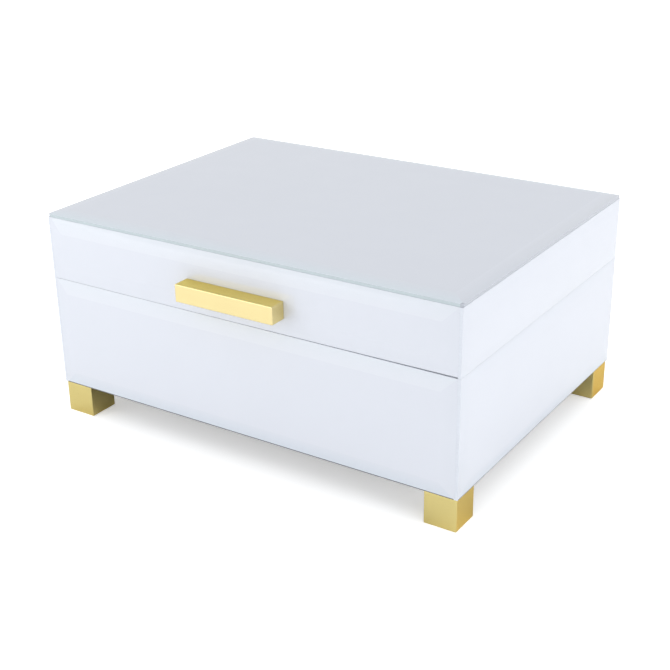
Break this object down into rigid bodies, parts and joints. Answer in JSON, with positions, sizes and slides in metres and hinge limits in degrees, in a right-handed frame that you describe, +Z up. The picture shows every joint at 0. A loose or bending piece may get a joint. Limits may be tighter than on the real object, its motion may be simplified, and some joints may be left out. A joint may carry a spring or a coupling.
{
  "type": "lidded jewellery box",
  "caption": "Rectangular glass-clad jewellery box with a hinged lid, a bar handle, cube feet and a velvet interior with a lift-out ring tray.",
  "frame": {"origin": "on the surface that the box stands on, under the middle of its bounding box", "axes": "+X along the box's width, to the right seen from the front; -Y out of the front; +Z up"},
  "size_m": [0.2428, 0.1956, 0.114],
  "materials": {
    "painted_glass": "gloss, back-painted white",
    "polished_gold": "polished",
    "fibreboard": "raw board, velvet-covered where it faces the inside",
    "velvet": "short pile",
    "mirror": "silvered glass",
    "steel": "plated"
  },
  "bodies": {
    "base": {"base_board_front": "fibreboard", "base_board_right": "fibreboard", "base_board_back": "fibreboard", "base_board_left": "fibreboard", "base_board_bottom": "fibreboard", "base_glass_front": "painted_glass", "base_glass_right": "painted_glass", "base_glass_back": "painted_glass", "base_glass_left": "painted_glass", "foot_front_left": "polished_gold", "foot_front_right": "polished_gold", "foot_back_left": "polished_gold", "foot_back_right": "polished_gold", "foot_screw_front_left": "steel", "foot_screw_front_right": "steel", "foot_screw_back_left": "steel", "foot_screw_back_right": "steel", "tray_rail_left": "velvet", "tray_rail_right": "velvet", "base_floor_pad": "velvet", "base_divider": "velvet", "hinge_leaf_base_left": "polished_gold", "hinge_pin_left": "steel", "hinge_screw_base_left_a": "polished_gold", "hinge_screw_base_left_b": "polished_gold", "hinge_leaf_base_right": "polished_gold", "hinge_pin_right": "steel", "hinge_screw_base_right_a": "polished_gold", "hinge_screw_base_right_b": "polished_gold"},
    "lid": {"lid_board_front": "fibreboard", "lid_board_right": "fibreboard", "lid_board_back": "fibreboard", "lid_board_left": "fibreboard", "lid_board_top": "fibreboard", "lid_glass_front": "painted_glass", "lid_glass_right": "painted_glass", "lid_glass_back": "painted_glass", "lid_glass_left": "painted_glass", "lid_glass_top": "painted_glass", "lid_lining": "velvet", "lid_mirror": "mirror", "handle_bar": "polished_gold", "handle_screw_left": "steel", "handle_screw_right": "steel", "hinge_leaf_lid_left": "polished_gold", "hinge_screw_lid_left_a": "polished_gold", "hinge_screw_lid_left_b": "polished_gold", "hinge_leaf_lid_right": "polished_gold", "hinge_screw_lid_right_a": "polished_gold", "hinge_screw_lid_right_b": "polished_gold"},
    "tray": {"tray_floor": "velvet", "tray_wall_front": "velvet", "tray_wall_back": "velvet", "tray_wall_left": "velvet", "tray_wall_right": "velvet", "tray_divider_long": "velvet", "tray_divider_short": "velvet", "ring_cushion": "velvet", "pull_tab_left": "velvet", "pull_tab_right": "velvet"}
  },
  "joints": [
    {"name": "lid_hinge", "type": "hinge", "parent": "base", "child": "lid", "pos_m": [0, 0.09525, 0.0778], "axis": [-1, 0, 0], "range_deg": [0, 98]},
    {"name": "tray_lift", "type": "slide", "parent": "base", "child": "tray", "axis": [0, 0, 1], "range_m": [0, 0.016]}
  ]
}
